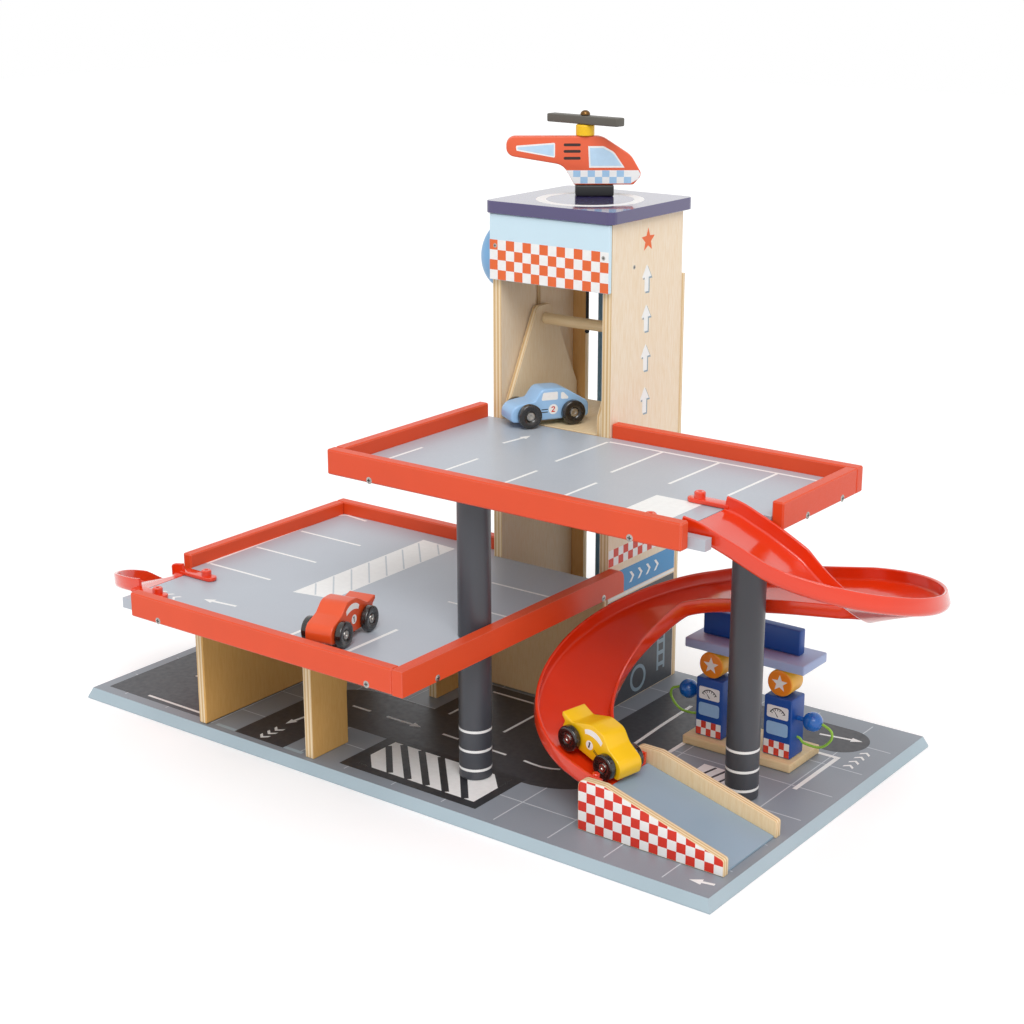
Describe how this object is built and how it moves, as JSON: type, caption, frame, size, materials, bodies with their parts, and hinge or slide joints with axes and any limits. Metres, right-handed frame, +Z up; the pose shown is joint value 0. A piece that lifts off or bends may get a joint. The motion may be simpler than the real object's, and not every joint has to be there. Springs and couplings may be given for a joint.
{
  "type": "toy service station",
  "caption": "Wooden toy parking garage with railed decks, a wound lift tower, a banked slide, an entry ramp, pumps, a helicopter and cars.",
  "frame": {"origin": "centre of the base board's underside", "axes": "+X right along the base board's long front edge, +Y to the back, +Z up"},
  "size_m": [0.6824, 0.372, 0.4746],
  "materials": {
    "board_print": "printed",
    "deck_paint": "satin paint",
    "rail_paint": "satin paint",
    "birch_ply": "clear lacquer",
    "roof_paint": "satin paint",
    "sign_paint": "printed",
    "column_paint": "satin paint",
    "slide_plastic": "gloss",
    "ramp_paint": "satin paint",
    "knob_paint": "satin paint",
    "ladder_paint": "satin paint",
    "cord_black": "braided",
    "pump_paint": "satin paint",
    "globe_paint": "satin paint",
    "canopy_paint": "satin paint",
    "ball_paint": "gloss paint",
    "hose_lime": "satin",
    "heli_paint": "satin paint",
    "mast_paint": "satin paint",
    "rotor_paint": "stained",
    "stand_black": "satin",
    "steel": "burnished",
    "car_blue": "gloss paint",
    "car_red": "gloss paint",
    "car_yellow": "gloss paint",
    "wheel_black": "satin"
  },
  "bodies": {
    "station": {"base_board": "board_print", "support_wall_left": "birch_ply", "support_wall_arch": "birch_ply", "tower_front_panel": "birch_ply", "lower_deck": "deck_paint", "lower_rail_front": "rail_paint", "lower_rail_right": "rail_paint", "lower_rail_back": "rail_paint", "lower_rail_left": "rail_paint", "upper_deck": "deck_paint", "upper_rail_front": "rail_paint", "upper_rail_left": "rail_paint", "upper_rail_back": "rail_paint", "upper_rail_right": "rail_paint", "tower_side_left": "birch_ply", "tower_side_right": "birch_ply", "tower_back_panel": "birch_ply", "tower_ladder": "ladder_paint", "tower_sign": "sign_paint", "tower_roof": "roof_paint", "column_left_lower": "column_paint", "column_left_upper": "column_paint", "column_right": "column_paint", "main_slide": "slide_plastic", "exit_chute": "slide_plastic", "ramp_side_front": "birch_ply", "ramp_side_rear": "birch_ply", "ramp_deck": "ramp_paint", "pump_island": "birch_ply", "pump_body_left": "pump_paint", "pump_body_right": "pump_paint", "pump_globe_left": "globe_paint", "pump_globe_right": "globe_paint", "pump_canopy": "canopy_paint", "pump_panel": "pump_paint"},
    "winch": {"winch_knob": "knob_paint", "winch_shaft": "birch_ply"},
    "lift": {"lift_floor": "birch_ply", "lift_side_left": "birch_ply", "lift_side_right": "birch_ply", "lift_dowel": "birch_ply", "lift_cord": "cord_black"},
    "nozzle_left": {"nozzle_ball_left": "ball_paint", "hose_left": "hose_lime"},
    "nozzle_right": {"nozzle_ball_right": "ball_paint", "hose_right": "hose_lime"},
    "helicopter": {"heli_stand": "stand_black", "heli_body": "heli_paint", "heli_mast": "mast_paint", "rotor_screw": "steel"},
    "rotor": {"heli_rotor": "rotor_paint"},
    "blue_car": {"blue_car_body": "car_blue"},
    "blue_front_axle": {"blue_car_front_wheels": "wheel_black"},
    "blue_rear_axle": {"blue_car_rear_wheels": "wheel_black"},
    "red_car": {"red_car_body": "car_red"},
    "red_front_axle": {"red_car_front_wheels": "wheel_black"},
    "red_rear_axle": {"red_car_rear_wheels": "wheel_black"},
    "yellow_car": {"yellow_car_body": "car_yellow"},
    "yellow_front_axle": {"yellow_car_front_wheels": "wheel_black"},
    "yellow_rear_axle": {"yellow_car_rear_wheels": "wheel_black"}
  },
  "joints": [
    {"name": "lift_slide", "type": "slide", "parent": "station", "child": "lift", "axis": [0, 0, 1], "range_m": [-0.117, 0], "deforming": ["lift_cord"]},
    {"name": "winch_spin", "type": "hinge", "parent": "station", "child": "winch", "pos_m": [0.017, 0.08645, 0.361], "axis": [1, 0, 0], "range_deg": [-500, 0]},
    {"name": "nozzle_left_pull", "type": "slide", "parent": "station", "child": "nozzle_left", "axis": [-1, 0, 0], "range_m": [0, 0.006]},
    {"name": "nozzle_right_pull", "type": "slide", "parent": "station", "child": "nozzle_right", "axis": [1, 0, 0], "range_m": [0, 0.006]},
    {"name": "helicopter_lift_off", "type": "slide", "parent": "station", "child": "helicopter", "axis": [0, 0, 1], "range_m": [0, 0.08]},
    {"name": "rotor_spin", "type": "hinge", "parent": "helicopter", "child": "rotor", "pos_m": [0.0044, 0.1128, 0.46725], "axis": [0, 0, 1], "continuous": true},
    {"name": "blue_car_roll", "type": "slide", "parent": "station", "child": "blue_car", "axis": [-0.506, -0.8625, 0], "range_m": [0, 0.028]},
    {"name": "blue_front_axle_spin", "type": "hinge", "parent": "blue_car", "child": "blue_front_axle", "pos_m": [-0.00481, 0.04461, 0.246], "axis": [0.8625, -0.506, 0], "range_deg": [-5, 185]},
    {"name": "blue_rear_axle_spin", "type": "hinge", "parent": "blue_car", "child": "blue_rear_axle", "pos_m": [0.01391, 0.07652, 0.246], "axis": [0.8625, -0.506, 0], "range_deg": [-5, 185]},
    {"name": "red_car_roll", "type": "slide", "parent": "station", "child": "red_car", "axis": [0.2011, -0.9796, 0], "range_m": [-0.1, 0.005]},
    {"name": "red_front_axle_spin", "type": "hinge", "parent": "red_car", "child": "red_front_axle", "pos_m": [-0.01238, -0.17961, 0.129], "axis": [0.9796, 0.2011, 0], "range_deg": [-645, 40]},
    {"name": "red_rear_axle_spin", "type": "hinge", "parent": "red_car", "child": "red_rear_axle", "pos_m": [-0.01982, -0.14337, 0.129], "axis": [0.9796, 0.2011, 0], "range_deg": [-645, 40]},
    {"name": "yellow_car_lift_off", "type": "slide", "parent": "station", "child": "yellow_car", "axis": [0, 0, 1], "range_m": [0, 0.06]},
    {"name": "yellow_front_axle_spin", "type": "hinge", "parent": "yellow_car", "child": "yellow_front_axle", "pos_m": [0.18007, -0.0915, 0.04818], "axis": [0.1908, 0.9816, 0], "continuous": true},
    {"name": "yellow_rear_axle_spin", "type": "hinge", "parent": "yellow_car", "child": "yellow_rear_axle", "pos_m": [0.14521, -0.08472, 0.05856], "axis": [0.1908, 0.9816, 0], "continuous": true}
  ],
  "couplings": [
    {"joint": "winch_spin", "follows": "lift_slide", "rad_per_m": 73.801},
    {"joint": "blue_front_axle_spin", "follows": "blue_car_roll", "rad_per_m": 103.09},
    {"joint": "blue_rear_axle_spin", "follows": "blue_car_roll", "rad_per_m": 103.09},
    {"joint": "red_front_axle_spin", "follows": "red_car_roll", "rad_per_m": 103.09},
    {"joint": "red_rear_axle_spin", "follows": "red_car_roll", "rad_per_m": 103.09}
  ]
}
